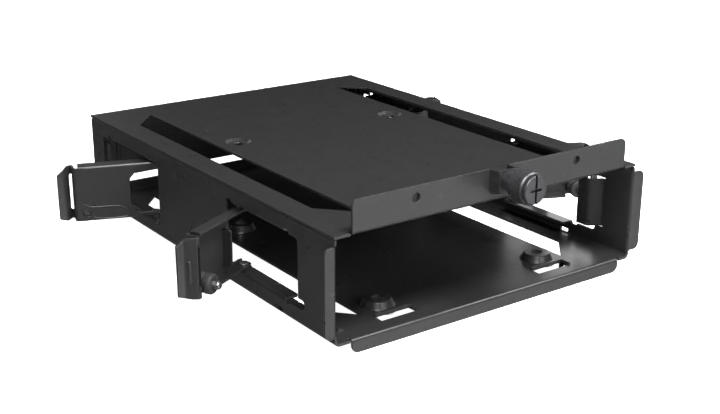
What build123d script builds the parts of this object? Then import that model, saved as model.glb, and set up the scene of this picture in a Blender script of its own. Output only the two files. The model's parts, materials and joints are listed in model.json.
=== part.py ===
from build123d import *
import os

# Hard drive cage: a folded sheet steel tray with a riveted cover, four swing-out retaining levers
# that carry rubber-cushioned drive pins, and a captive thumbscrew in the cover's front flange.
# Millimetres. Origin in the middle of the floor's underside, +Y from the open front to the rear, +Z up.

# box
box_w = 112.0
box_d = 152.0
box_h = 31.0
sheet = 0.8
foot_bend = 1.0
tight_bend = 0.25

# the drive that the cage holds
drive_hole_front = 28.5
drive_hole_pitch = 101.6
drive_hole_up = 6.35

# raised pads in the floor and dimples in the cover, on one screw pattern
pad_pitch_x = 61.72
pad_pitch_y = 76.6
pad_front = 15.2
pad_h = 3.0
pad_top_r = 4.0
pad_base_r = 5.0
pad_hole_r = 1.75
dimple_r = 4.3
dimple_deep = 0.8
dimple_floor_r = 3.2

# narrow floor slots in front of the front pads, with a low lip behind each
notch_front = 5.5
notch_w = 3.2
notch_long = 12.4
notch_left_shift = 0.6
notch_right_shift = -1.8
notch_lip = 0.75
notch_lip_root = 1.5
pip_r = 1.2
pip_in = 6.8
pip_back = 7.6

# long vent slots with slanted ends, the same in floor and cover
slot_edge = 8.1
slot_w = 9.2
slot_slant = 10.5
slot_end = 12.1

# windows in the side walls
sill_z = 5.8
lintel_drop = 5.7
ledge_in = 4.7
ledge_root = 2.6
ledge_short = 6.8
front_window_past_grip = 2.2
front_window_behind = 5.4
rear_window_past_grip = 3.2
rear_window_behind = 7.8
relief_long = 9.3
relief_tall = 2.8
foot_hole_back = 27.45
foot_hole_long = 3.3
foot_hole_low = 1.1
foot_hole_tall = 1.2

# lead-in strap lanced inwards at the front end of the right wall's front window
lead_in_start = 12.0
lead_in_slope = 2.1
lead_in_flat = 4.6
lead_in_depth = 4.0
lead_in_margin = 1.5

# front flanges
top_flange_rise = 9.0
top_flange_left = 5.7
top_flange_right = 5.2
foot_flange_drop = 3.4
foot_flange_right = 4.7
ear_low = 2.5
ear_drop = 2.7
ear_left = 3.0
ear_right = 4.2
flange_hole_pitch = 59.6
flange_hole_drop = 3.4
flange_hole_r = 1.35

# rear
lip_z = 4.3
panel_z = 6.7
return_reach = 12.6
rivet_r = 1.0
return_step = 3.1
rivet_from_rear = 4.3
rivet_drop = 5.8
rivet_pitch = 7.0

# retaining levers, drawn with u from the hinge to the grip, v towards the drive
hinge_in = 2.3
pin_reach = 22.1
lever_gap_low = 0.3
lever_gap_high = 0.5
plate_start = 8.0
plate_past_pin = 3.3
lever_flange_v = 1.9
crown_v = 2.7
grip_long = 5.4
opened = {"front_left": 62.0, "front_right": 66.0, "rear_left": 70.0, "rear_right": 56.0}
hinge_pin_r = 1.0
run_clear = 0.05

# drive pins and cushions
pin_r = 1.2
pin_tip_v = 6.3
pin_flange_r = 2.3
cushion_r = 3.0
cushion_v = 4.2

# thumbscrew, measured forwards from the front face of the flange
screw_drop = 3.2
boss_half = 3.9
boss_reach = 3.6
boss_draft = 0.4
boss_low = 4.4
boss_round = 1.7
ferrule_r = 3.0
ferrule_end = 7.6
shank_r = 1.5
knob_r = 4.7
knob_back = 7.7
knob_front = 13.2
disc_r = 4.1
disc_front = 14.5
cup_floor = 12.3
knurls = 40
spring_wire_r = 0.2
spring_r = 1.95
spring_turns = 6

half_w = box_w / 2
front = -box_d / 2
rear = box_d / 2
lintel_z = box_h - lintel_drop
slot_long = box_d - 2 * slot_end
top_flange_z = box_h + top_flange_rise
flange_hole_z = top_flange_z - flange_hole_drop
screw_z = top_flange_z - screw_drop
rivet_y = rear - rivet_from_rear
rivet_zs = (box_h - rivet_drop - rivet_pitch, box_h - rivet_drop)
plate_end = pin_reach + plate_past_pin
grip_tip = plate_end + grip_long
lever_low = sill_z + lever_gap_low
lever_high = lintel_z - lever_gap_high
pin_z = pad_h + drive_hole_up
front_hinge = drive_hole_front + pin_reach
rear_hinge = drive_hole_front + drive_hole_pitch - pin_reach
spring_seat = boss_reach + 0.6


def box(x, y, z):
    """Block between the given pairs of x, y and z."""
    size = (x[1] - x[0], y[1] - y[0], z[1] - z[0])
    middle = ((x[0] + x[1]) / 2, (y[0] + y[1]) / 2, (z[0] + z[1]) / 2)
    return Pos(*middle) * Box(*size)


def along_x(face, x0, x1):
    """Section drawn in y and z, run from x0 to x1."""
    place = Plane(origin=(x0, 0, 0), x_dir=(0, 1, 0), z_dir=(1, 0, 0))
    return extrude(place * face, amount=x1 - x0)


def along_y(face, y0, y1):
    """Section drawn in x and z, run from y0 to y1."""
    place = Plane(origin=(0, y1, 0), x_dir=(1, 0, 0), z_dir=(0, -1, 0))
    return extrude(place * face, amount=y1 - y0)


def along_z(face, z0, z1):
    """Section drawn in x and y, run from z0 to z1."""
    return extrude(Plane.XY.offset(z0) * face, amount=z1 - z0)


def rod_x(x0, x1, y, z, r):
    """Round bar along x."""
    return Pos((x0 + x1) / 2, y, z) * Rot(0, 90, 0) * Cylinder(r, abs(x1 - x0))


def rod_y(y0, y1, x, z, r):
    """Round bar along y."""
    return Pos(x, (y0 + y1) / 2, z) * Rot(90, 0, 0) * Cylinder(r, abs(y1 - y0))


def rod_z(z0, z1, x, y, r):
    """Round bar along z."""
    return Pos(x, y, (z0 + z1) / 2) * Cylinder(r, abs(z1 - z0))


def mirrored_x(shape):
    """The shape and its mirror image across the middle of the box."""
    return shape + shape.mirror(Plane.YZ)


def outline(points, rounds):
    """Closed outline with the listed corners rounded."""
    face = make_face(Polyline(*points, close=True))
    for index, radius in rounds.items():
        corner = face.vertices().sort_by_distance((*points[index], 0))[0]
        face = fillet(corner, radius)
    return face


def fold(path, bends, t=sheet):
    """Section of a folded sheet whose middle line follows the path, with an inside radius per bend."""
    points = [Vector(*p) for p in path]
    runs = [(b - a).normalized() for a, b in zip(points, points[1:])]
    sides = [Vector(-run.Y, run.X) for run in runs]
    miters = [sides[0]]
    for one, other in zip(sides, sides[1:]):
        both = one + other
        miters.append(both * (2 / both.length ** 2))
    miters.append(sides[-1])
    left = [p + m * (t / 2) for p, m in zip(points, miters)]
    right = [p - m * (t / 2) for p, m in zip(points, miters)]
    face = make_face(Polyline(*left, *reversed(right), close=True))
    for i, bend in enumerate(bends, start=1):
        turn = runs[i - 1].X * runs[i].Y - runs[i - 1].Y * runs[i].X
        inner, outer = (left[i], right[i]) if turn > 0 else (right[i], left[i])
        if bend > 0:
            face = fillet(face.vertices().sort_by_distance(inner)[0], bend)
        face = fillet(face.vertices().sort_by_distance(outer)[0], bend + t)
    return face


def wall_section():
    """Floor, side walls and the narrow seats along their tops, as one folded strip."""
    seat = box_h - 1.5 * sheet
    wall = half_w - sheet / 2
    inner = half_w - slot_edge + 1.2
    path = [(-inner, seat), (-wall, seat), (-wall, sheet / 2)]
    path += [(x * -1, z) for x, z in reversed(path)]
    return fold(path, [tight_bend, foot_bend, foot_bend, tight_bend])


def vent_slots(z0, z1):
    """Pair of long slots with slanted ends."""
    x0 = -half_w + slot_edge
    x1 = x0 + slot_w
    y0 = slot_long / 2 - slot_slant
    y1 = slot_long / 2
    shape = along_z(outline([(x0, -y0), (x1, -y1), (x1, y1), (x0, y0)], {}), z0, z1)
    return mirrored_x(shape)


def pad_places():
    """Centres of the four pads, shared by floor and cover."""
    y0 = front + pad_front
    return [(x, y) for x in (-pad_pitch_x / 2, pad_pitch_x / 2) for y in (y0, y0 + pad_pitch_y)]


def raised_pad():
    """Hollow round pad pressed up out of the floor, with a screw hole."""
    skin = [(pad_hole_r, pad_h), (pad_top_r, pad_h), (pad_base_r, sheet), (pad_base_r + 1, sheet)]
    back = [(pad_base_r + 1, 0), (pad_base_r - 0.5, 0), (pad_top_r - 0.5, pad_h - sheet)]
    face = outline(skin + back + [(pad_hole_r, pad_h - sheet)], {1: 0.35, 2: 0.6})
    return revolve(Plane.XZ * face, Axis.Z)


def dimple():
    """Round dimple pressed down into the cover, with a screw hole."""
    top = box_h
    low = box_h - dimple_deep
    rim = dimple_r + 1
    skin = [(pad_hole_r, low), (dimple_floor_r, low), (dimple_r, top), (rim, top)]
    back = [(rim, top - sheet), (dimple_r - 0.3, top - sheet), (dimple_floor_r - 0.3, low - sheet)]
    face = outline(skin + back + [(pad_hole_r, low - sheet)], {1: 0.3, 2: 0.4})
    return revolve(Plane.XZ * face, Axis.Z)


def floor_notches():
    """Ends of the two floor slots in x, and whether an end lip closes the slot."""
    left = -pad_pitch_x / 2 + notch_left_shift
    right = pad_pitch_x / 2 + notch_right_shift
    half = notch_long / 2
    return [(left - half, left + half, False), (right - half, right + half, True)]


def floor_lip(x0, x1, end_lip):
    """Low lip turned up along the rear edge of a floor slot, and along one end of the right one."""
    y = front + notch_front + notch_w
    path = [(y + notch_lip_root, sheet / 2), (y + sheet / 2, sheet / 2), (y + sheet / 2, sheet + notch_lip)]
    lip = along_x(fold(path, [tight_bend]), x0, x1)
    if end_lip:
        lip += box((x1, x1 + sheet), (front + notch_front, y + sheet), (0, sheet + notch_lip))
    return lip


def window_ends(hinge, towards):
    """Ends of one window in y, past the closed grip and behind the hinge."""
    past, behind = front_window_past_grip, front_window_behind
    if towards > 0:
        past, behind = rear_window_past_grip, rear_window_behind
    return front + hinge + towards * (grip_tip + past), front + hinge - towards * behind


def window_cut(side, hinge, towards):
    """Opening in one wall for one lever, with the rounded relief at its foot."""
    y_tip, y_back = window_ends(hinge, towards)
    corner = outline(
        [(y_tip, sill_z), (y_back, sill_z), (y_back, lintel_z), (y_tip, lintel_z)],
        {0: 1.0, 1: 1.2, 2: 1.2, 3: 1.2},
    )
    y_relief = y_tip + towards * -1.4
    corner += Pos(y_relief, sill_z + 0.9) * SlotOverall(relief_long, relief_tall)
    for y in (y_tip - towards * 6.0, y_back + towards * 2.0):
        corner += Pos(y, sill_z) * RectangleRounded(3.2, 2.4, 0.6)
        corner += Pos(y, lintel_z) * RectangleRounded(3.2, 2.4, 0.6)
    x = side * half_w
    return along_x(corner, min(x, x - side * 1.6) - 0.6, max(x, x - side * 1.6) + 0.6)


def ledge_ends(hinge, towards):
    """Ends of the turned ledges in y, the lower value first."""
    y_tip, y_back = window_ends(hinge, towards)
    return sorted((y_tip - towards * ledge_short, y_back + towards * 2.8))


def ledges(side, hinge, towards):
    """Sill and lintel turned inwards, bored for the hinge rivets."""
    y0, y1 = ledge_ends(hinge, towards)
    wall = side * (half_w - sheet / 2)
    edge = side * (half_w - ledge_in)
    low = [(wall, sill_z - ledge_root), (wall, sill_z - sheet / 2), (edge, sill_z - sheet / 2)]
    high = [(wall, lintel_z + ledge_root), (wall, lintel_z + sheet / 2), (edge, lintel_z + sheet / 2)]
    shape = None
    for path in (low, high):
        ledge = along_y(fold(path, [tight_bend]), y0, y1)
        tip = ledge.edges().filter_by(Axis.Z).sort_by(Axis.X)
        corners = tip[:2] if side > 0 else tip[-2:]
        ledge = fillet(corners, 0.8)
        shape = ledge if shape is None else shape + ledge
    x, y = hinge_place(side, hinge)
    return shape - rod_z(sill_z - 2, lintel_z + 2, x, y, hinge_pin_r + 0.02)


def ledge_clearance(side, hinge, towards):
    """Wall band that each turned ledge replaces."""
    x = side * half_w
    xs = (min(x, x - side * sheet), max(x, x - side * sheet))
    ys = ledge_ends(hinge, towards)
    low = box(xs, ys, (sill_z - ledge_root, sill_z + 1))
    return low + box(xs, ys, (lintel_z - 1, lintel_z + ledge_root))


def hinge_place(side, hinge):
    """Hinge axis of one lever, in plan."""
    return side * (half_w - hinge_in), front + hinge


def front_ear(side):
    """Stiffening flange turned outwards along the front edge of one wall."""
    reach = ear_left if side < 0 else ear_right
    wall = side * (half_w - sheet / 2)
    y = front + sheet / 2
    path = [(wall, front + 4), (wall, y), (side * (half_w + reach), y)]
    ear = along_z(fold(path, [tight_bend]), ear_low, box_h - ear_drop)
    ends = ear.edges().filter_by(Axis.Y).sort_by(Axis.X)
    return fillet(ends[-2:] if side > 0 else ends[:2], 2.0)


def foot_flange():
    """Front edge of the floor turned down."""
    y = front + sheet / 2
    path = [(front + 4, sheet / 2), (y, sheet / 2), (y, -foot_flange_drop)]
    x0 = -half_w + top_flange_left
    x1 = half_w - foot_flange_right
    flange = along_x(fold(path, [tight_bend]), x0, x1)
    return fillet(flange.edges().filter_by(Axis.Y).sort_by(Axis.Z)[:2], 2.4)


def rear_lip():
    """Rear edge of the floor turned up."""
    y = rear - 1.5 * sheet
    path = [(y - 4, sheet / 2), (y, sheet / 2), (y, lip_z)]
    x = half_w - slot_edge
    lip = along_x(fold(path, [tight_bend]), -x, x)
    return fillet(lip.edges().filter_by(Axis.Y).sort_by(Axis.Z)[-2:], 1.2)


def lower_tray():
    """Floor, walls, window ledges, ears and lips: one folded sheet."""
    end = rear - sheet
    tray = along_y(wall_section(), front, end)
    seat = (box_h - 2 * sheet - 0.3, box_h)
    run = half_w - sheet
    tray -= box((-run, run), (front - 1, front + 4), seat)
    tray -= box((-run, run), (end - 9.2, rear + 1), seat)
    x0 = -half_w + top_flange_left
    x1 = half_w - foot_flange_right
    tray -= box((x0 - 0.5, x1 + 0.5), (front - 1, front + 1.6), (-1, 2))
    tray -= box((x0, x1), (front - 1, front + 4), (-1, 2))
    tray += foot_flange()
    lip_x = half_w - slot_edge
    tray -= box((-lip_x - 0.5, lip_x + 0.5), (end - 1.6, rear + 1), (-1, 2))
    tray -= box((-lip_x, lip_x), (end - 4.4, rear + 1), (-1, 2))
    tray += rear_lip()
    for side in (-1, 1):
        x = side * half_w
        xs = (min(x, x - side * sheet), max(x, x - side * sheet))
        tray -= box(xs, (front - 1, front + 4), (ear_low, box_h - ear_drop))
        tray += front_ear(side)
    tray -= vent_slots(-1, sheet + 1)
    for x0, x1, end_lip in floor_notches():
        tray -= box((x0, x1), (front + notch_front, front + notch_front + notch_w + notch_lip_root), (-1, 2))
        tray += floor_lip(x0, x1, end_lip)
    for x, y in pad_places():
        tray -= rod_z(-1, sheet + 1, x, y, pad_base_r + 0.5)
        tray += Pos(x, y, 0) * raised_pad()
    tray += rod_z(0, sheet + 0.5, -half_w + pip_in, front + pip_back, pip_r)
    for side in (-1, 1):
        for hinge, towards in ((front_hinge, -1), (rear_hinge, 1)):
            tray -= window_cut(side, hinge, towards)
            tray -= ledge_clearance(side, hinge, towards)
            tray += ledges(side, hinge, towards)
        tray -= foot_hole(side)
        for z in rivet_zs:
            tray -= rod_x(side * (half_w - 2), side * (half_w + 1), rivet_y, z, rivet_r + 0.02)
    return with_lead_in(tray)


def with_lead_in(tray):
    """The tray with its lead-in strap: sloped in from the right wall, then flat up to the window."""
    wall = half_w - sheet / 2
    inner = wall - lead_in_depth
    y0 = front + lead_in_start
    y1 = y0 + lead_in_slope
    path = [(wall, y0 - 3), (wall, y0), (inner, y1), (inner, y1 + lead_in_flat)]
    low = lever_low + lead_in_margin
    high = lever_high - lead_in_margin
    strap = along_z(fold(path, [sheet, sheet]), low, high)
    window_front = window_ends(front_hinge, -1)[0]
    gap = box((half_w - 2, half_w + 1), (y0 - 1, window_front + 0.5), (low - 0.3, high + 0.3))
    return tray - gap + strap


def foot_hole(side):
    """Small slot through the foot of the wall."""
    x = side * (half_w - 1)
    y = front + foot_hole_back
    ys = (y - foot_hole_long / 2, y + foot_hole_long / 2)
    return box((x - 2, x + 2), ys, (foot_hole_low, foot_hole_low + foot_hole_tall))


def cover_section():
    """Front flange, cover plate and rear panel, as one folded strip."""
    y0 = front + sheet / 2
    y1 = rear - sheet / 2
    z = box_h - sheet / 2
    return fold([(y0, top_flange_z), (y0, z), (y1, z), (y1, panel_z)], [tight_bend, tight_bend])


def boss_block(inset, y_base, y_face):
    """Tapered block for the drawn seat of the thumbscrew, open at the top."""
    half0 = boss_half - inset
    half1 = boss_half - boss_draft - inset
    low0 = screw_z - boss_low + inset
    low1 = low0 + 2 * boss_draft
    high = top_flange_z + 2
    loops = []
    for y, half, low in ((y_base, half0, low0), (y_face, half1, low1)):
        corners = [(-half, low), (half, low), (half, high), (-half, high)]
        face = outline(corners, {0: boss_round - inset / 2, 1: boss_round - inset / 2})
        loops.append(Plane(origin=(0, y, 0), x_dir=(1, 0, 0), z_dir=(0, -1, 0)) * face)
    return loft(loops)


def panel_return(side):
    """Side edge of the rear panel folded forwards inside the wall."""
    x = side * (half_w - 1.5 * sheet)
    y = rear - sheet / 2
    path = [(x - side * 4, y), (x, y), (x, rear - return_reach)]
    tab = along_z(fold(path, [tight_bend]), panel_z + 1.2, box_h - 3.2)
    xs = (min(x, x - side), max(x, x + side))
    ys = (rear - return_reach - 1, rear - return_reach + return_step)
    return tab - box((xs[0] - 1, xs[1] + 1), ys, (lintel_z - 2, box_h))


def screw_row_collar(x):
    """Short collar drawn rearwards round one tapped hole of the front flange."""
    y = front + sheet
    return rod_y(y - 0.2, y + 0.9, x, flange_hole_z, flange_hole_r + 0.6)


def top_cover():
    """Cover plate, front flange with its drawn screw seat, and rear panel: one folded sheet."""
    cover = along_x(cover_section(), -half_w, half_w)
    left = -half_w + top_flange_left
    right = half_w - top_flange_right
    zs = (box_h - sheet, box_h)
    for a, b in ((-half_w - 1, left), (right, half_w + 1)):
        cover -= box((a, b), (front - 1, front + 2), (0, top_flange_z + 1))
    cover += box((-half_w, left - 0.5), (front, front + 2), zs)
    cover += box((right + 0.5, half_w), (front, front + 2), zs)
    flange_tops = cover.edges().filter_by(Axis.Y).sort_by(Axis.Z)[-2:]
    cover = fillet(flange_tops, 2.0)
    cover -= vent_slots(box_h - 2, box_h + 1)
    for x, y in pad_places():
        cover -= rod_z(box_h - 2, box_h + 1, x, y, dimple_r + 0.5)
        cover += Pos(x, y, 0) * dimple()
    centre = (left + right) / 2
    for x in (centre - flange_hole_pitch / 2, centre + flange_hole_pitch / 2):
        cover += screw_row_collar(x)
        cover -= rod_y(front - 1, front + 3, x, flange_hole_z, flange_hole_r)
    above = box((-20, 20), (front - 9, front + 9), (top_flange_z, top_flange_z + 9))
    cover += boss_block(0, front, front - boss_reach) - above
    cover -= boss_block(0.75, front + sheet + 0.1, front - boss_reach + sheet)
    cover -= rod_y(front - boss_reach - 1, front, 0, screw_z, neck_r() + 0.02)
    notch = box((half_w - sheet, half_w + 1), (rear - 3, rear + 1), (0, box_h - 1.2 * sheet))
    cover -= mirrored_x(notch)
    for side in (-1, 1):
        x = side * half_w
        xs = (min(x, x - side * 5.2), max(x, x - side * 5.2))
        cover -= box(xs, (rear - sheet - 1, rear + 1), (panel_z + 1.2, box_h - 3.2))
        cover += panel_return(side)
        cover += panel_bead(side)
        for z in rivet_zs:
            cover -= rod_x(side * (half_w - 3), side * (half_w + 1), rivet_y, z, rivet_r + 0.02)
    return cover


def panel_bead(side):
    """Shallow upright bead pressed into the rear panel."""
    x = side * (half_w - 9.5)
    y = rear - sheet
    bead = rod_z(panel_z + 3, box_h - 5, x, y + 0.45, 0.95)
    return bead & box((x - 2, x + 2), (y - 1, y + 0.1), (0, box_h))


def neck_r():
    """Radius of the ferrule where it passes through the drawn seat."""
    return ferrule_r - 0.8


def seam_rivets(side):
    """Rivets that hold the cover's returns to one wall."""
    outer = side * half_w
    inner = side * (half_w - 2 * sheet)
    shape = None
    for z in rivet_zs:
        y = rivet_y
        rivet = rod_x(outer, inner, y, z, rivet_r)
        rivet += rod_x(outer, outer + side * 0.25, y, z, rivet_r + 0.35)
        rivet += rod_x(inner, inner - side * 0.45, y, z, rivet_r + 0.6)
        shape = rivet if shape is None else shape + rivet
    return shape


def hinge_rivets(side, hinge):
    """Lower and upper shoulder rivet of one lever."""
    x, y = hinge_place(side, hinge)
    t = sheet
    low = rod_z(sill_z - t, lever_low + t + run_clear, x, y, hinge_pin_r)
    low += rod_z(sill_z - t - 0.45, sill_z - t, x, y, hinge_pin_r + 0.4)
    low += rod_z(sill_z, lever_low - run_clear, x, y, hinge_pin_r + 0.5)
    low += rod_z(lever_low + t + run_clear, lever_low + t + 0.5, x, y, hinge_pin_r + 0.4)
    high = rod_z(lever_high - t - run_clear, lintel_z + t, x, y, hinge_pin_r)
    high += rod_z(lintel_z + t, lintel_z + t + 0.45, x, y, hinge_pin_r + 0.4)
    high += rod_z(lever_high + run_clear, lintel_z, x, y, hinge_pin_r + 0.5)
    high += rod_z(lever_high - t - 0.5, lever_high - t - run_clear, x, y, hinge_pin_r + 0.4)
    return low + high


def grip_section():
    """Hairpin grip: in from the plate, round a tight crown, and back out to a flared tip."""
    t = sheet
    v_plate = -hinge_in + t / 2
    u = plate_end
    path = [(u - 3, v_plate), (u + 0.1, v_plate), (u + 0.45, crown_v - t / 2), (u + 1.45, crown_v - t / 2)]
    path += [(u + 3.3, -1.0), (grip_tip, v_plate)]
    return fold(path, [0.5, 0.08, 0.08, 1.2])


def lever_notch():
    """Deep hollow between the two hinge arms, in u and z."""
    low, high = lever_low + 1.75, lever_high - 2.8
    points = [(-4, low), (plate_start - 2.6, low), (plate_start, low + 2.4), (plate_start, high - 2.4)]
    points += [(plate_start - 2.4, high), (-4, high)]
    return outline(points, {1: 1.6, 2: 1.6, 3: 1.6, 4: 1.6})


def channel():
    """Plate with its top and bottom flanges, as one folded strip rounded about the hinge."""
    v = -hinge_in + sheet / 2
    low, high = lever_low + sheet / 2, lever_high - sheet / 2
    edge = lever_flange_v
    section = fold([(edge, low), (v, low), (v, high), (edge, high)], [tight_bend, tight_bend])
    body = along_x(section, -hinge_in, plate_end - 1.2)
    off = Pos(-2, 0) * Rectangle(4, 8) - Circle(hinge_in)
    body -= along_z(off, lever_low - 1, lever_high + 1)
    body -= along_y(lever_notch(), -hinge_in - 1, lever_flange_v + 1)
    inner = (-hinge_in + sheet, 4)
    body -= box((pin_reach - cushion_r - 0.5, grip_tip), inner, (lever_low - 1, lever_low + sheet + 0.3))
    corners = body.edges().filter_by(Axis.Z).sort_by(Axis.Y)
    tips = [e for e in corners if e.center().Y > lever_flange_v - 0.1 and e.center().X > 5]
    return fillet(tips, 1.0)


def lever_body():
    """One lever with u along x and v along y, its hinge axis on z."""
    z0, z1 = lever_low, lever_high
    t = sheet
    v0 = -hinge_in
    body = channel()
    u, v = plate_start + t / 2, v0 + t / 2
    stiffener = [(plate_start + 3, v), (u, v), (u, 1.55)]
    strip = along_z(fold(stiffener, [tight_bend]), z0 + 3.2, z1 - 4.4)
    body += fillet(strip.edges().filter_by(Axis.X).sort_by(Axis.Y)[-2:], 0.9)
    grip = along_z(grip_section(), z0 + 0.3, z1 - 0.5)
    grip -= flare_trim()
    body += grip
    slot = Pos(plate_end + 0.95, (z0 + z1) / 2) * Rot(0, 0, 90) * SlotOverall(12.2, 1.2)
    body -= along_y(slot, crown_v - 1.6, crown_v + 1)
    body += catch_bump()
    body -= rod_y(v0 - 1, v0 + t + 1, pin_reach, pin_z, 1.55)
    return body - rod_z(z0 - 1, z1 + 1, 0, 0, hinge_pin_r + run_clear)


def flare_trim():
    """Material left off round the flared tip: sloped top corner and rounded foot."""
    z0, z1 = lever_low + 0.3, lever_high - 0.5
    u0, u1 = plate_end + 2.6, grip_tip + 1
    top = outline([(u0, z1 + 1), (u0, z1), (u1, z1 - 2.6), (u1, z1 + 1)], {})
    foot = outline([(u0, z0 - 1), (u0, z0), (u1, z0 + 1.6), (u1, z0 - 1)], {})
    return along_y(top + foot, -6, 6)


def catch_bump():
    """Small ramped catch pressed out of the grip's sloping leg."""
    u, v = plate_end + 2.5, 0.75
    z = (lever_low + lever_high) / 2 - 1.0
    wedge = outline([(-1.1, -0.2), (0.8, -0.2), (0.7, 0.6), (0.3, 0.6)], {3: 0.2})
    return along_z(Pos(u, v) * Rot(0, 0, -64) * wedge, z - 3.2, z + 3.2)


def drive_pin():
    """Stepped pin riveted into the lever and pointing at the drive."""
    v0 = -hinge_in
    profile = [(0, v0 + 0.35), (1.5, v0 + 0.35), (1.5, v0 + sheet), (pin_flange_r, v0 + sheet)]
    profile += [(pin_flange_r, v0 + sheet + 0.5), (pin_r, v0 + sheet + 0.5)]
    profile += [(pin_r, pin_tip_v - 0.4), (pin_r - 0.4, pin_tip_v), (0, pin_tip_v)]
    return Pos(pin_reach, 0, pin_z) * revolve(outline(profile, {}), Axis.Y)


def cushion():
    """Grooved rubber ring over the drive pin."""
    v0 = -hinge_in + sheet
    bore = pin_r + 0.04
    flange = pin_flange_r + 0.05
    waist = (v0 + cushion_v) / 2
    profile = [(flange, v0), (cushion_r - 0.3, v0), (cushion_r, v0 + 0.4), (cushion_r, waist - 0.6)]
    profile += [(cushion_r - 0.6, waist - 0.2), (cushion_r - 0.6, waist + 0.2), (cushion_r, waist + 0.6)]
    profile += [(cushion_r, cushion_v - 0.4), (cushion_r - 0.4, cushion_v), (bore, cushion_v)]
    profile += [(bore, v0 + 0.55), (flange, v0 + 0.55)]
    return Pos(pin_reach, 0, pin_z) * revolve(outline(profile, {}), Axis.Y)


def placed(shape, side, hinge, towards, angle):
    """Turn a lever piece about its hinge and set it in its window."""
    same_hand = side * towards > 0
    if not same_hand:
        shape = shape.mirror(Plane.XZ)
    closed = 90 * towards
    turn = closed + angle * (-1 if same_hand else 1)
    x, y = hinge_place(side, hinge)
    return Pos(x, y, 0) * Rot(0, 0, turn) * shape


def on_screw(profile):
    """Round piece of the thumbscrew from radius and distance forwards of the flange."""
    turned = revolve(outline(profile, {}), Axis.Y)
    return Pos(0, front, screw_z) * Rot(0, 0, 180) * turned


def ferrule():
    """Sleeve staked into the drawn seat, its cup holding the spring."""
    bore = shank_r + 0.07
    cup = spring_r + spring_wire_r + 0.1
    back = boss_reach - sheet
    profile = [(bore, back - 0.4), (neck_r() + 0.25, back - 0.4), (neck_r() + 0.25, back), (neck_r(), back)]
    profile += [(neck_r(), boss_reach), (ferrule_r, boss_reach), (ferrule_r, ferrule_end - 0.2)]
    profile += [(ferrule_r - 0.2, ferrule_end), (cup, ferrule_end), (cup, spring_seat), (bore, spring_seat)]
    return on_screw(profile)


def retaining_ring():
    """Ring in the shank's groove that keeps the screw captive."""
    back = boss_reach - sheet - 0.4
    inner = shank_r - 0.3 + 0.05
    outer = neck_r() + 0.05
    return on_screw([(inner, back - 0.7), (outer, back - 0.7), (outer, back - 0.1), (inner, back - 0.1)])


def screw_shank():
    """Shank with its groove for the ring and a threaded end."""
    groove = boss_reach - sheet - 0.4
    root = shank_r - 0.3
    profile = [(0, cup_floor + 0.7), (shank_r, cup_floor + 0.7), (shank_r, groove), (root, groove)]
    profile += [(root, groove - 0.8), (shank_r, groove - 0.8)]
    s = groove - 1.0
    while s > -0.2:
        profile += [(shank_r, s), (shank_r - 0.25, s - 0.35), (shank_r, s - 0.7)]
        s -= 0.75
    profile += [(shank_r - 0.4, s - 0.35), (0, s - 0.35)]
    return on_screw(profile)


def knob():
    """Knurled head with a cup behind, a grooved face and a slot with a short cross."""
    profile = [(shank_r + 0.02, cup_floor), (ferrule_r + 0.1, cup_floor), (ferrule_r + 0.1, knob_back)]
    profile += [(knob_r - 0.35, knob_back), (knob_r, knob_back + 0.35), (knob_r, knob_front - 0.45)]
    profile += [(knob_r - 0.45, knob_front), (disc_r + 0.1, knob_front), (disc_r - 0.15, knob_front - 0.5)]
    profile += [(disc_r, knob_front + 0.2), (disc_r, disc_front - 0.25), (disc_r - 0.25, disc_front)]
    profile += [(0, disc_front), (0, cup_floor + 0.75), (shank_r + 0.02, cup_floor + 0.75)]
    head = on_screw(profile)
    face = front - disc_front
    head -= box((-0.4, 0.4), (face - 1, face + 0.9), (screw_z - 6, screw_z + 6))
    head -= box((-2.0, 2.0), (face - 1, face + 1.1), (screw_z - 0.38, screw_z + 0.38))
    y0 = front - knob_front + 0.95
    y1 = front - knob_back - 0.75
    tooth = Rot(0, 0, 45) * Rectangle(0.36, 0.36)
    groove = along_y(Pos(knob_r, 0) * tooth, y0, y1)
    grooves = [Pos(0, 0, screw_z) * Rot(0, i * 360 / knurls, 0) * groove for i in range(knurls)]
    return head - grooves


def spring():
    """Coil spring round the shank, between the ferrule's cup and the knob's cup, in six-sided wire."""
    long = cup_floor - spring_seat - 2 * spring_wire_r - 0.1
    coil = Helix(long / spring_turns, long, spring_r)
    section = Plane(origin=coil @ 0, z_dir=coil % 0) * RegularPolygon(spring_wire_r, 6)
    wire = sweep(section, path=coil, is_frenet=True)
    return Pos(0, front - spring_seat - spring_wire_r - 0.05, screw_z) * Rot(90, 0, 0) * wire


def parts():
    """Every separate piece of the cage under its own name."""
    made = {
        "lower_tray": lower_tray(),
        "top_cover": top_cover(),
        "seam_rivets_left": seam_rivets(-1),
        "seam_rivets_right": seam_rivets(1),
        "screw_ferrule": ferrule(),
        "screw_retaining_ring": retaining_ring(),
        "screw_shank": screw_shank(),
        "screw_knob": knob(),
        "screw_spring": spring(),
    }
    lever = lever_body()
    pin = drive_pin()
    ring = cushion()
    for end, hinge, towards in (("front", front_hinge, -1), ("rear", rear_hinge, 1)):
        for name, side in (("left", -1), ("right", 1)):
            where = f"{end}_{name}"
            angle = opened[where]
            made[f"lever_{where}"] = placed(lever, side, hinge, towards, angle)
            made[f"drive_pin_{where}"] = placed(pin, side, hinge, towards, angle)
            made[f"pin_cushion_{where}"] = placed(ring, side, hinge, towards, angle)
            made[f"hinge_rivets_{where}"] = hinge_rivets(side, hinge)
    return made


os.makedirs("parts", exist_ok=True)
for part_name, part_shape in parts().items():
    export_step(part_shape, f"parts/{part_name}.step")
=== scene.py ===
import json
import math

import bmesh
import bpy
from mathutils import Matrix, Vector


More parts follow.
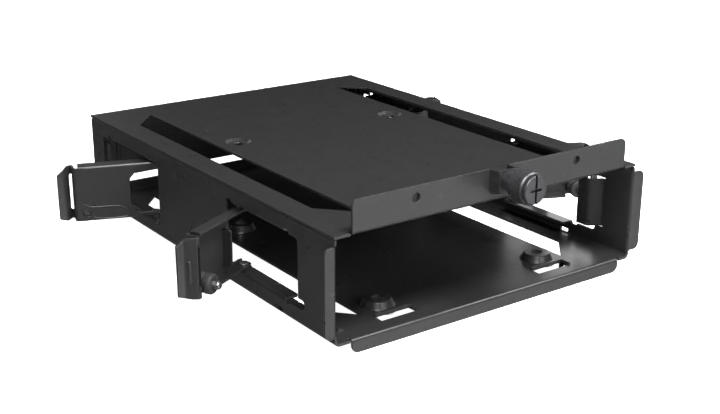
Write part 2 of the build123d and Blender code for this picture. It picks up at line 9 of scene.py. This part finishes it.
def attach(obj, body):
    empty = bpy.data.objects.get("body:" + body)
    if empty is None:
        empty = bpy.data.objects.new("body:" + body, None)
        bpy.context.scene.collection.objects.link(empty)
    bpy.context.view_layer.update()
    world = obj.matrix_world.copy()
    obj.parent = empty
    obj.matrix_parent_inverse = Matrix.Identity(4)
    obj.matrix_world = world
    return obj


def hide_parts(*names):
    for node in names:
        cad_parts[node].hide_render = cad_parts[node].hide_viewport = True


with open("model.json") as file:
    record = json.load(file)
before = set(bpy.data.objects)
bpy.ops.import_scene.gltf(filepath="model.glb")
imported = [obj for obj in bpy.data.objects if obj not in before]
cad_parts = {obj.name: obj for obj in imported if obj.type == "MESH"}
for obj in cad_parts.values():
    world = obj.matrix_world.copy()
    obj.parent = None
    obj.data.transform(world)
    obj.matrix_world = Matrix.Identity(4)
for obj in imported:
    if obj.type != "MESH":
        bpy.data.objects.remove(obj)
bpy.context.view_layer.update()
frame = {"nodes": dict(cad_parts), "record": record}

MM = 0.001
SIDES = {"left": -1, "right": 1}

# The cage's driving sizes in millimetres, as in the part's source
BOX_W, BOX_D, BOX_H = 112.0, 152.0, 31.0
SHEET = 0.8
PAD_H = 3.0
DRIVE_HOLE_FRONT, DRIVE_HOLE_PITCH, DRIVE_HOLE_UP = 28.5, 101.6, 6.35
HINGE_IN, PIN_REACH = 2.3, 22.1
OPENED = {"front_left": 62.0, "front_right": 66.0, "rear_left": 70.0, "rear_right": 56.0}
FLANGE_RISE, FOOT_DROP, SCREW_DROP = 9.0, 3.4, 3.2

# Places worked out from them
FRONT = -BOX_D / 2
PIN_Z = PAD_H + DRIVE_HOLE_UP
HINGE_Y = {
    "front": FRONT + DRIVE_HOLE_FRONT + PIN_REACH,
    "rear": FRONT + DRIVE_HOLE_FRONT + DRIVE_HOLE_PITCH - PIN_REACH,
}
SCREW_Z = BOX_H + FLANGE_RISE - SCREW_DROP

# Cushions and pins, along v: from the lever's outer face towards the drive
OUTER_FACE = -HINGE_IN
INNER_FACE = OUTER_FACE + SHEET
PIN_CENTRE = (PIN_REACH, 0, PIN_Z)
PIN_R, PIN_ROOT_R, PIN_COLLAR_R, PIN_COLLAR = 1.2, 1.5, 2.3, 0.5
PIN_TIP = 6.3
CUSHION_R, CUSHION_WAIST_R, CUSHION_END = 3.0, 2.45, 4.2

# Thumbscrew, measured forwards from the front face of the flange
SHANK_R, SHANK_END = 1.5, 13.0
KNOB_R, KNOB_BACK, KNOB_FRONT = 4.7, 7.7, 13.2
DISC_R, DISC_FRONT = 4.1, 14.5
CUP_R, CUP_FLOOR = 3.1, 12.3
SPRING_SEAT, SPRING_R, SPRING_WIRE_R, SPRING_TURNS = 4.2, 1.95, 0.2, 6


def hinge_matrix(end, side):
    """Maps a lever's own u, v, z in mm onto its rest place in the row frame in metres."""
    towards = -1 if end == "front" else 1
    s = SIDES[side]
    same = s * towards > 0
    turn = math.radians(90 * towards + OPENED[f"{end}_{side}"] * (-1 if same else 1))
    place = Matrix.Translation((s * (BOX_W / 2 - HINGE_IN) * MM, HINGE_Y[end] * MM, 0))
    flip = Matrix.Scale(1 if same else -1, 4, (0, 1, 0))
    return place @ Matrix.Rotation(turn, 4, "Z") @ Matrix.Scale(MM, 4) @ flip


def screw_matrix():
    """Maps x across, y forwards from the flange and z up, in mm, onto the thumbscrew's place."""
    place = Matrix.Translation((0, FRONT * MM, SCREW_Z * MM))
    return place @ Matrix.Rotation(math.pi, 4, "Z") @ Matrix.Scale(MM, 4)


# Materials
COLOUR_A, COLOUR_B, MIXED_COLOUR = 6, 7, 2  # a mix node's sockets for colours
NOISE_LOW, NOISE_HIGH = 0.3, 0.7  # most of a noise's values lie between these


def node(tree, kind, **settings):
    """New shader node; each setting is an input's value or a property of the node."""
    made = tree.nodes.new(kind)
    for key, value in settings.items():
        if key in made.inputs:
            made.inputs[key].default_value = value
        else:
            setattr(made, key, value)
    return made


class Shader:
    """A principled material with helpers for the procedural detail in it."""

    def __init__(self, name, roughness, metallic=0.0, **sockets):
        self.material = bpy.data.materials.new(name)
        self.material.use_nodes = True
        self.tree = self.material.node_tree
        self.tree.nodes.clear()
        self.main = self.tree.nodes.new("ShaderNodeBsdfPrincipled")
        out = self.tree.nodes.new("ShaderNodeOutputMaterial")
        self.tree.links.new(self.main.outputs["BSDF"], out.inputs["Surface"])
        self.main.inputs["Metallic"].default_value = metallic
        self.main.inputs["Roughness"].default_value = roughness
        for key, value in sockets.items():
            self.main.inputs[key.replace("_", " ")].default_value = value
        self.coords = node(self.tree, "ShaderNodeTexCoord").outputs["Object"]

    def link(self, a, b):
        self.tree.links.new(a, b)

    def mapped(self, scale):
        """The piece's own coordinates, stretched by scale."""
        mapping = node(self.tree, "ShaderNodeMapping")
        mapping.inputs["Scale"].default_value = scale
        self.link(self.coords, mapping.inputs["Vector"])
        return mapping.outputs["Vector"]

    def noise(self, scale, detail=3.0, rough=0.55, vector=None):
        made = node(self.tree, "ShaderNodeTexNoise", Scale=scale, Detail=detail, Roughness=rough)
        self.link(vector or self.coords, made.inputs["Vector"])
        return made.outputs["Fac"]

    def ranged(self, fac, low, high):
        """A noise spread over low to high."""
        made = node(self.tree, "ShaderNodeMapRange")
        ends = (NOISE_LOW, NOISE_HIGH, low, high)
        for key, value in zip(("From Min", "From Max", "To Min", "To Max"), ends):
            made.inputs[key].default_value = value
        self.link(fac, made.inputs["Value"])
        return made.outputs["Result"]

    def blend(self, fac, a, b):
        """Colour between a and b."""
        made = node(self.tree, "ShaderNodeMix", data_type="RGBA")
        self.link(fac, made.inputs["Factor"])
        made.inputs[COLOUR_A].default_value = (*a, 1)
        made.inputs[COLOUR_B].default_value = (*b, 1)
        return made.outputs[MIXED_COLOUR]

    def colour(self, socket):
        self.link(socket, self.main.inputs["Base Color"])

    def roughness(self, socket):
        self.link(socket, self.main.inputs["Roughness"])

    def bump(self, height, strength, distance):
        made = node(self.tree, "ShaderNodeBump", Strength=strength, Distance=distance)
        self.link(height, made.inputs["Height"])
        self.link(made.outputs["Normal"], self.main.inputs["Normal"])


def powder_coat():
    """Nearly black satin powder coat with a fine grain."""
    s = Shader("powder_coat", 0.36, Specular_IOR_Level=0.5)
    grain = s.ranged(s.noise(700, 3), 0, 1)
    s.colour(s.blend(grain, (0.0130, 0.0130, 0.0134), (0.0170, 0.0170, 0.0174)))
    s.roughness(s.ranged(s.noise(240, 4), 0.27, 0.33))
    s.bump(s.noise(2600, 2, 0.4), 0.18, 0.00002)
    return s.material


def zinc_plate():
    """Bright zinc on turned steel, with fine level streaks."""
    s = Shader("zinc_plate", 0.28, 1.0)
    fine = s.noise(900, 3, 0.6, s.mapped((1, 1, 6)))
    s.colour(s.blend(fine, (0.52, 0.52, 0.53), (0.66, 0.66, 0.67)))
    s.roughness(s.ranged(fine, 0.2, 0.38))
    s.bump(fine, 0.2, 0.00003)
    return s.material


def anthracite():
    """Dark metal plating of the thumbscrew's head."""
    s = Shader("anthracite_plate", 0.34, 0.85)
    fine = s.noise(700, 4, 0.6)
    s.colour(s.blend(fine, (0.07, 0.07, 0.075), (0.115, 0.115, 0.12)))
    s.roughness(s.ranged(fine, 0.28, 0.42))
    s.bump(s.noise(1500, 2), 0.2, 0.00003)
    return s.material


def black_rubber():
    """Matt black rubber with a faint cloudy bloom."""
    s = Shader("black_rubber", 0.62, Specular_IOR_Level=0.4)
    cloud = s.noise(500, 3)
    s.colour(s.blend(cloud, (0.012, 0.012, 0.012), (0.022, 0.022, 0.023)))
    s.roughness(s.ranged(cloud, 0.52, 0.72))
    s.bump(s.noise(1600, 2), 0.3, 0.00005)
    return s.material


MATERIALS = {
    "black_steel": powder_coat(),
    "plated_steel": zinc_plate(),
    "dark_metal": anthracite(),
    "black_rubber": black_rubber(),
}
SLOT_OF = {s["node"]: s["material_slot"] for s in frame["record"]["subparts"]}


def dress(obj, slot):
    """Gives a piece the one material of its slot."""
    obj.data.materials.clear()
    obj.data.materials.append(MATERIALS[slot])


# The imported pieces
SAME_POINT = 0.000002
SAME_PLANE = math.radians(0.4)
SHARP_EDGE = math.radians(32)
COATED_EDGE, TURNED_EDGE = 0.00012, 0.00006
EDGE_STEPS = 2
FACE_SIZE_WEIGHT = 70


def soften(obj, width):
    """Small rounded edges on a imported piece, as a coated sheet's edges have."""
    weld = obj.modifiers.new("weld", "WELD")
    weld.merge_threshold = SAME_POINT
    flat = obj.modifiers.new("flat", "DECIMATE")
    flat.decimate_type = "DISSOLVE"
    flat.angle_limit = SAME_PLANE
    bevel = obj.modifiers.new("edge", "BEVEL")
    bevel.width = width
    bevel.segments = EDGE_STEPS
    bevel.limit_method = "ANGLE"
    bevel.angle_limit = SHARP_EDGE
    bevel.use_clamp_overlap = False
    even = obj.modifiers.new("normals", "WEIGHTED_NORMAL")
    even.weight = FACE_SIZE_WEIGHT
    for polygon in obj.data.polygons:
        polygon.use_smooth = True


for name, obj in frame["nodes"].items():
    dress(obj, SLOT_OF[name])
    soften(obj, COATED_EDGE if SLOT_OF[name] == "black_steel" else TURNED_EDGE)


# Pieces made here
SAME_VERTEX = 0.0005
SHARP_FROM, DISC_SHARP_FROM = math.radians(38), math.radians(30)
ON_AXIS = 0.00001
ARC_SHARE = 0.45  # the most of a profile's side that one rounded corner may take


def add_mesh(name, bm, matrix, slot, body, *stands_for):
    """Finishes a mesh drawn in mm in its own axes, puts it in place and ties it to its body."""
    bmesh.ops.remove_doubles(bm, verts=bm.verts, dist=SAME_VERTEX)
    bm.transform(matrix)
    bmesh.ops.recalc_face_normals(bm, faces=bm.faces)
    mesh = bpy.data.meshes.new(name)
    bm.to_mesh(mesh)
    bm.free()
    obj = bpy.data.objects.new(name, mesh)
    bpy.context.scene.collection.objects.link(obj)
    for polygon in mesh.polygons:
        polygon.use_smooth = True
    mesh.set_sharp_from_angle(angle=SHARP_FROM)
    dress(obj, slot)
    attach(obj, body)
    if stands_for:
        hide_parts(*stands_for)
    return obj


def rounded(profile, radius, steps=3):
    """Profile of (radius, distance) with its inner corners replaced by short arcs."""
    made = [profile[0]]
    for before, here, after in zip(profile, profile[1:], profile[2:]):
        a, p, b = Vector(before), Vector(here), Vector(after)
        cut = min(radius, (a - p).length * ARC_SHARE, (b - p).length * ARC_SHARE)
        one = p + (a - p).normalized() * cut
        two = p + (b - p).normalized() * cut
        for i in range(steps + 1):
            t = i / steps
            q = one * (1 - t) ** 2 + p * 2 * t * (1 - t) + two * t * t
            made.append((q.x, q.y))
    return made + [profile[-1]]


def turned(bm, profile, count, at=(0, 0, 0)):
    """Lathes a profile of (radius, distance) about the local y axis."""
    rings = []
    for r, s in profile:
        if r < ON_AXIS:
            rings.append([bm.verts.new((at[0], at[1] + s, at[2]))] * count)
            continue
        ring = []
        for i in range(count):
            a = 2 * math.pi * i / count
            ring.append(bm.verts.new((at[0] + r * math.cos(a), at[1] + s, at[2] + r * math.sin(a))))
        rings.append(ring)
    for low, high in zip(rings, rings[1:]):
        for i in range(count):
            j = (i + 1) % count
            corners = list(dict.fromkeys((low[i], low[j], high[j], high[i])))
            if len(corners) > 2:
                bm.faces.new(corners)


def cushion(end, side):
    """Moulded rubber ring with two soft lips, a waist and a recess for the pin's collar."""
    chamfer, waist_half, waist_mouth = 0.5, 0.15, 0.5
    bore, recess_r = PIN_R + 0.04, PIN_COLLAR_R + 0.06
    recess = INNER_FACE + PIN_COLLAR + 0.06
    waist = (INNER_FACE + CUSHION_END) / 2
    profile = [
        (recess_r, INNER_FACE),
        (CUSHION_R - 0.3, INNER_FACE),
        (CUSHION_R, INNER_FACE + chamfer),
        (CUSHION_R, waist - waist_mouth),
        (CUSHION_WAIST_R, waist - waist_half),
        (CUSHION_WAIST_R, waist + waist_half),
        (CUSHION_R, waist + waist_mouth),
        (CUSHION_R, CUSHION_END - chamfer),
        (CUSHION_R - 0.4, CUSHION_END),
        (bore, CUSHION_END),
        (bore, recess),
        (recess_r, recess),
        (recess_r, INNER_FACE),
    ]
    bm = bmesh.new()
    turned(bm, rounded(profile, 0.22, 4), 72, PIN_CENTRE)
    where = f"{end}_{side}"
    add_mesh(f"soft_cushion_{where}", bm, hinge_matrix(end, side), "black_rubber",
             f"lever_arm_{where}", f"pin_cushion_{where}")


def pin(end, side):
    """Turned drive pin: dished root in the lever's sheet, collar, shaft and rounded nose."""
    profile = [
        (0, OUTER_FACE + 0.45),
        (PIN_ROOT_R / 2, OUTER_FACE + 0.4),
        (PIN_ROOT_R - 0.08, OUTER_FACE + 0.3),
        (PIN_ROOT_R, OUTER_FACE + 0.42),
        (PIN_ROOT_R, INNER_FACE),
        (PIN_COLLAR_R, INNER_FACE),
        (PIN_COLLAR_R, INNER_FACE + PIN_COLLAR - 0.02),
        (PIN_R, INNER_FACE + PIN_COLLAR),
        (PIN_R, PIN_TIP - 0.55),
        (PIN_R - 0.15, PIN_TIP - 0.25),
        (PIN_R - 0.45, PIN_TIP),
        (0, PIN_TIP),
    ]
    bm = bmesh.new()
    turned(bm, rounded(profile, 0.12), 48, PIN_CENTRE)
    where = f"{end}_{side}"
    add_mesh(f"turned_pin_{where}", bm, hinge_matrix(end, side), "plated_steel",
             f"lever_arm_{where}", f"drive_pin_{where}")


def riveted_end(end, side):
    """Head of the drive pin in the black coat's material, sunk a little in the lever's outer face."""
    head_r = PIN_ROOT_R - 0.01
    rim, dish, back = OUTER_FACE + 0.2, OUTER_FACE + 0.34, OUTER_FACE + 0.5
    profile = [
        (0, dish),
        (head_r - 0.99, dish),
        (head_r - 0.74, rim),
        (head_r - 0.19, rim),
        (head_r, OUTER_FACE + 0.36),
        (head_r, back),
        (0, back),
    ]
    bm = bmesh.new()
    turned(bm, rounded(profile, 0.1), 48, PIN_CENTRE)
    where = f"{end}_{side}"
    add_mesh(f"riveted_end_{where}", bm, hinge_matrix(end, side), "black_steel",
             f"lever_arm_{where}", f"drive_pin_{where}")


# Floor of the groove round the knob's disc, as radius and distance, and the cuts in the disc
FACE_GROOVE = (DISC_R - 0.18, KNOB_FRONT - 0.48)
DISC_CUTS = {"slot": (0.8, 1.8, 12.0), "cross": (4.0, 2.2, 0.76)}


def knob():
    """Knurled head: crossed helical grooves, chamfered rims, grooved face and a slotted disc."""
    bm = bmesh.new()
    count, steps, starts, twist = 288, 26, 36, 0.62
    knurl_deep, groove_sharpness, fade_rate = 0.2, 1.8, 4
    low_end, high_end = KNOB_BACK + 0.45, KNOB_FRONT - 0.55
    rings = []
    for k in range(steps + 1):
        s = low_end + (high_end - low_end) * k / steps
        fade = min(1.0, fade_rate * min(k, steps - k) / steps)
        ring = []
        for i in range(count):
            a = 2 * math.pi * i / count
            cuts = []
            for lean in (-1, 1):
                phase = (starts * (a + lean * twist * (s - low_end) / KNOB_R) / (2 * math.pi)) % 1
                cuts.append(abs(phase - 0.5) * 2)
            r = KNOB_R - knurl_deep * fade * max(0.0, 1 - min(cuts) * groove_sharpness)
            ring.append(bm.verts.new((r * math.cos(a), s, r * math.sin(a))))
        rings.append(ring)
    for low, high in zip(rings, rings[1:]):
        for i in range(count):
            j = (i + 1) % count
            bm.faces.new((low[i], low[j], high[j], high[i]))
    back = [
        (SHANK_R + 0.02, CUP_FLOOR),
        (CUP_R, CUP_FLOOR),
        (CUP_R, KNOB_BACK),
        (KNOB_R - 0.4, KNOB_BACK),
        (KNOB_R, KNOB_BACK + 0.35),
        (KNOB_R, low_end),
    ]
    turned(bm, rounded(back, 0.1), count)
    face = [
        (KNOB_R, high_end),
        (KNOB_R, KNOB_FRONT - 0.45),
        (KNOB_R - 0.4, KNOB_FRONT),
        (DISC_R + 0.02, KNOB_FRONT),
        FACE_GROOVE,
    ]
    turned(bm, rounded(face, 0.08), count)
    add_mesh("knurled_knob", bm, screw_matrix(), "dark_metal", "screw_turner", "screw_knob")
    knob_disc()


def knob_disc():
    """Raised face disc, cut by a slot right across and a short cross."""
    bm = bmesh.new()
    disc = [
        FACE_GROOVE,
        (DISC_R, KNOB_FRONT + 0.2),
        (DISC_R, DISC_FRONT - 0.25),
        (DISC_R - 0.25, DISC_FRONT),
        (0, DISC_FRONT),
    ]
    turned(bm, rounded(disc, 0.1), 144)
    turned(bm, [(0, CUP_FLOOR + 0.1), FACE_GROOVE], 144)
    obj = add_mesh("knob_face", bm, screw_matrix(), "dark_metal", "screw_turner", "screw_knob")
    for name, size in DISC_CUTS.items():
        cut = bpy.data.meshes.new(name)
        cutter = bmesh.new()
        bmesh.ops.create_cube(cutter, size=1)
        place = Matrix.Translation((0, DISC_FRONT, 0)) @ Matrix.Diagonal((*size, 1))
        cutter.transform(screw_matrix() @ place)
        cutter.to_mesh(cut)
        cutter.free()
        tool = bpy.data.objects.new(name, cut)
        bpy.context.scene.collection.objects.link(tool)
        boolean = obj.modifiers.new(name, "BOOLEAN")
        boolean.object = tool
        boolean.operation = "DIFFERENCE"
        boolean.solver = "EXACT"
        apply_modifiers(obj)
        bpy.data.objects.remove(tool)
    obj.data.set_sharp_from_angle(angle=DISC_SHARP_FROM)


def apply_modifiers(obj):
    """Bakes the modifiers into the mesh."""
    graph = bpy.context.evaluated_depsgraph_get()
    made = bpy.data.meshes.new_from_object(obj.evaluated_get(graph))
    obj.modifiers.clear()
    obj.data = made


def tube(bm, points, radius, count):
    """Round wire along points, with flat ends."""
    rings = []
    normal = Vector((0, 0, 1))
    for i, p in enumerate(points):
        before, after = points[max(i - 1, 0)], points[min(i + 1, len(points) - 1)]
        along = (after - before).normalized()
        across = (normal - along * normal.dot(along)).normalized()
        normal = across
        other = along.cross(across)
        ring = []
        for k in range(count):
            a = 2 * math.pi * k / count
            ring.append(bm.verts.new(p + (across * math.cos(a) + other * math.sin(a)) * radius))
        rings.append(ring)
    for low, high in zip(rings, rings[1:]):
        for k in range(count):
            j = (k + 1) % count
            bm.faces.new((low[k], low[j], high[j], high[k]))
    bm.faces.new(reversed(rings[0]))
    bm.faces.new(rings[-1])


def spring():
    """Compression spring with a closed coil at each end."""
    play, count = 0.02, 260
    closed, closed_rise = 0.13, 0.42
    low = SPRING_SEAT + SPRING_WIRE_R + play
    high = CUP_FLOOR - SPRING_WIRE_R - play
    points = []
    for i in range(count + 1):
        t = i / count
        ease = min(1.0, max(0.0, (t - closed) / (1 - 2 * closed)))
        dead = closed_rise * (min(t, closed) + max(0.0, t - 1 + closed)) / closed
        a = 2 * math.pi * (SPRING_TURNS + 2) * t
        s = low + dead + (high - low - 2 * closed_rise) * ease
        points.append(Vector((SPRING_R * math.cos(a), s, SPRING_R * math.sin(a))))
    bm = bmesh.new()
    tube(bm, points, SPRING_WIRE_R, 10)
    add_mesh("coil_spring", bm, screw_matrix(), "plated_steel", "screw_slider", "screw_spring")


def shank():
    """Screw shank with a ring groove and a real helical thread at its end."""
    bm = bmesh.new()
    count, steps, pitch, thread_deep = 48, 44, 0.6, 0.26
    tip, thread_end, run_out = -1.05, 1.52, 0.3
    taper_long, taper_slope = 0.5, 0.5
    end_r, groove_r, groove_low, groove_high = 1.4, 1.2, 1.6, 2.38
    body = [
        (end_r, thread_end),
        (groove_r, groove_low),
        (groove_r, groove_high),
        (SHANK_R, groove_high + 0.04),
        (SHANK_R, SHANK_END),
        (0, SHANK_END),
    ]
    turned(bm, rounded(body, 0.05), count)
    rings = []
    for k in range(steps + 1):
        s = tip + (thread_end - tip) * k / steps
        fade = min(1.0, (thread_end - s) / run_out)
        ring = []
        for i in range(count):
            phase = (s / pitch - i / count) % 1
            depth = thread_deep * (1 - abs(phase - 0.5) * 2) * fade
            r = SHANK_R - depth - max(0.0, tip + taper_long - s) * taper_slope
            r = r if k < steps else end_r
            a = 2 * math.pi * i / count
            ring.append(bm.verts.new((r * math.cos(a), s, r * math.sin(a))))
        rings.append(ring)
    for one, two in zip(rings, rings[1:]):
        for i in range(count):
            j = (i + 1) % count
            bm.faces.new((one[i], one[j], two[j], two[i]))
    bm.faces.new(rings[0])
    add_mesh("threaded_shank", bm, screw_matrix(), "plated_steel", "screw_turner", "screw_shank")


# Lines pressed in a lever's outer face, as u and z
PRESSED_LINES = (
    ((23.0, 12.0), (21.6, 11.2), (19.5, 10.9), (12.6, 10.7), (10.6, 10.1), (9.2, 8.9), (8.6, 7.9)),
    ((20.2, 7.6), (18.6, 7.0), (14.0, 6.7), (10.4, 6.8), (9.0, 7.2)),
)
LINE_SUNK, LINE_R = 0.16, 0.32


def plate_relief(end, side):
    """Shallow raised lines pressed round the pin's corner of a lever's outer face."""
    bm = bmesh.new()
    for path in PRESSED_LINES:
        points = [Vector((u, OUTER_FACE + LINE_SUNK, z)) for u, z in path]
        tube(bm, smooth_line(points, 6), LINE_R, 10)
    where = f"{end}_{side}"
    matrix = hinge_matrix(end, side)
    add_mesh(f"pressed_line_{where}", bm, matrix, "black_steel", f"lever_arm_{where}")


def smooth_line(points, steps):
    """Points on a smooth curve through the given ones."""
    made = []
    for i in range(len(points) - 1):
        a, b = points[max(i - 1, 0)], points[i]
        c, d = points[i + 1], points[min(i + 2, len(points) - 1)]
        for k in range(steps):
            t = k / steps
            made.append(0.5 * (2 * b + (c - a) * t + (2 * a - 5 * b + 4 * c - d) * t ** 2
                               + (3 * b - a - 3 * c + d) * t ** 3))
    return made + [points[-1]]


for end in HINGE_Y:
    for side in SIDES:
        cushion(end, side)
        pin(end, side)
        riveted_end(end, side)
        plate_relief(end, side)
knob()
spring()
shank()


# Stage, light and camera
PAPER_GLOW = 1.0
FLOOR_SIZE, DOME_R = 6, 2.9

# Soft patches of light in the room: direction, degrees at full strength, degrees where it ends, strength
ROOM_GLOWS = (
    ((0, 0, -1), 60, 100, 0.12),
    ((0, 0, 1), 15, 74, 0.10),
    ((0.42, -0.85, -0.33), 8, 34, 1.2),
    ((0.37, 0.63, 0.68), 8, 22, 0.3),
    ((-0.85, -0.25, 0.45), 8, 30, 0.5),
    ((0.90, 0.20, 0.35), 8, 30, 0.8),
    ((0.00, 0.90, 0.20), 8, 26, 0.8),
    ((-0.80, 0.55, 0.25), 8, 26, 0.5),
)

# Lamps: name, place, aim, size, power, whether they light matt surfaces, whether they are reflected
LAMPS = (
    ("front_key", (0.10, -0.92, 0.36), (0, 0, 0), (0.6, 0.4), 10, True, False),
    ("front_card", (0.10, -0.90, 0.40), (0, 0, 0), (0.5, 0.3), 1.4, False, True),
    ("dimple_card", (-0.25, -0.38, 0.89), (0, 0, 0), (0.34, 0.34), 10.0, False, True),
    ("edge_card", (0.55, -0.30, 0.78), (0, 0, 0), (0.4, 0.4), 6.0, False, True),
    ("eye_card", (-0.42, -0.64, 0.62), (0, 0, 0), (0.34, 0.30), 4.0, False, True),
    ("near_front", (0.03, -0.17, 0.30), (0.02, -0.06, 0.03), (0.16, 0.10), 3.0, True, False),
    ("left_fill", (-0.95, -0.25, 0.25), (0, 0, 0), (0.5, 0.4), 2.4, True, False),
    ("right_fill", (0.98, 0.05, 0.22), (0, 0, 0), (0.5, 0.4), 9, True, False),
    ("rear_fill", (0.10, 0.98, 0.22), (0, 0, 0), (0.5, 0.4), 9, True, False),
    ("sill_card", (0.085, -0.010, 0.0155), (0.055, -0.036, 0.006), (0.07, 0.024), 0.011, True, True),
    ("sill_card_front", (0.068, -0.046, 0.0135), (0.053, -0.060, 0.006), (0.026, 0.016), 0.003, True, True),
)


def stage_floor():
    """White glowing paper that the cage stands on, left out of its reflections."""
    bpy.ops.mesh.primitive_plane_add(size=FLOOR_SIZE, location=(0, 0, -FOOT_DROP * MM))
    floor = bpy.context.object
    floor.name = "studio_floor"
    paper = Shader("studio_paper", 0.9, Emission_Color=(1, 1, 1, 1), Emission_Strength=PAPER_GLOW)
    paper.colour(paper.blend(paper.noise(3), (0.8, 0.8, 0.8), (0.84, 0.84, 0.84)))
    floor.data.materials.append(paper.material)
    floor.visible_glossy = False


def backdrop():
    """Pale paper dome behind the object, which lights nothing itself."""
    bpy.ops.mesh.primitive_uv_sphere_add(segments=64, ring_count=32, radius=DOME_R)
    dome = bpy.context.object
    dome.name = "studio_backdrop"
    dome.data.materials.append(bpy.data.materials["studio_paper"])
    dome.visible_glossy = False
    dome.visible_diffuse = False
    dome.visible_shadow = False


def area_light(name, at, aim, size, power, matt, glossy):
    """Soft rectangular lamp, itself unseen."""
    data = bpy.data.lights.new(name, "AREA")
    data.shape = "RECTANGLE"
    data.size, data.size_y = size
    data.energy = power
    lamp = bpy.data.objects.new(name, data)
    bpy.context.scene.collection.objects.link(lamp)
    lamp.location = at
    lamp.rotation_mode = "QUATERNION"
    lamp.rotation_quaternion = (Vector(aim) - Vector(at)).to_track_quat("-Z", "Y")
    lamp.visible_camera = False
    lamp.visible_diffuse = matt
    lamp.visible_glossy = glossy


def glow(tree, where, direction, inner, outer, strength):
    """Soft round patch of light in the room, full within one angle and gone by the other."""
    facing = node(tree, "ShaderNodeVectorMath", operation="DOT_PRODUCT")
    facing.inputs[1].default_value = Vector(direction).normalized()
    tree.links.new(where, facing.inputs[0])
    fade = node(tree, "ShaderNodeMapRange", interpolation_type="SMOOTHSTEP")
    ends = (math.cos(math.radians(outer)), math.cos(math.radians(inner)), 0.0, strength)
    for key, value in zip(("From Min", "From Max", "To Min", "To Max"), ends):
        fade.inputs[key].default_value = value
    tree.links.new(facing.outputs["Value"], fade.inputs["Value"])
    return fade.outputs["Result"]


def studio():
    """Dim room with soft patches of light round the object."""
    bpy.context.scene.view_settings.view_transform = "Standard"
    world = bpy.data.worlds.new("studio")
    bpy.context.scene.world = world
    world.use_nodes = True
    tree = world.node_tree
    where = node(tree, "ShaderNodeTexCoord").outputs["Generated"]
    total = None
    for direction, inner, outer, strength in ROOM_GLOWS:
        patch = glow(tree, where, direction, inner, outer, strength)
        if total is not None:
            add = node(tree, "ShaderNodeMath", operation="ADD")
            tree.links.new(total, add.inputs[0])
            tree.links.new(patch, add.inputs[1])
            patch = add.outputs["Value"]
        total = patch
    tree.nodes["Background"].inputs["Color"].default_value = (1, 1, 1, 1)
    tree.links.new(total, tree.nodes["Background"].inputs["Strength"])
    for lamp in LAMPS:
        area_light(*lamp)


# The photograph's own viewpoint, solved from points in it
EYE = Vector((-0.2150, -0.3083, 0.1362))
RIGHT = Vector((0.81240, -0.58310, 0.00262))
LOOK = Vector((0.55201, 0.76762, -0.32566))
SENSOR, LENS = 36, 59.16


def camera():
    """Camera at the photograph's viewpoint."""
    right, look = RIGHT.normalized(), LOOK.normalized()
    up = right.cross(look).normalized()
    data = bpy.data.cameras.new("photo_view")
    data.sensor_width = SENSOR
    data.lens = LENS
    cam = bpy.data.objects.new("photo_view", data)
    bpy.context.scene.collection.objects.link(cam)
    cam.matrix_world = Matrix((
        (right.x, up.x, -look.x, EYE.x),
        (right.y, up.y, -look.y, EYE.y),
        (right.z, up.z, -look.z, EYE.z),
        (0, 0, 0, 1),
    ))
    bpy.context.scene.camera = cam


stage_floor()
backdrop()
studio()
camera()
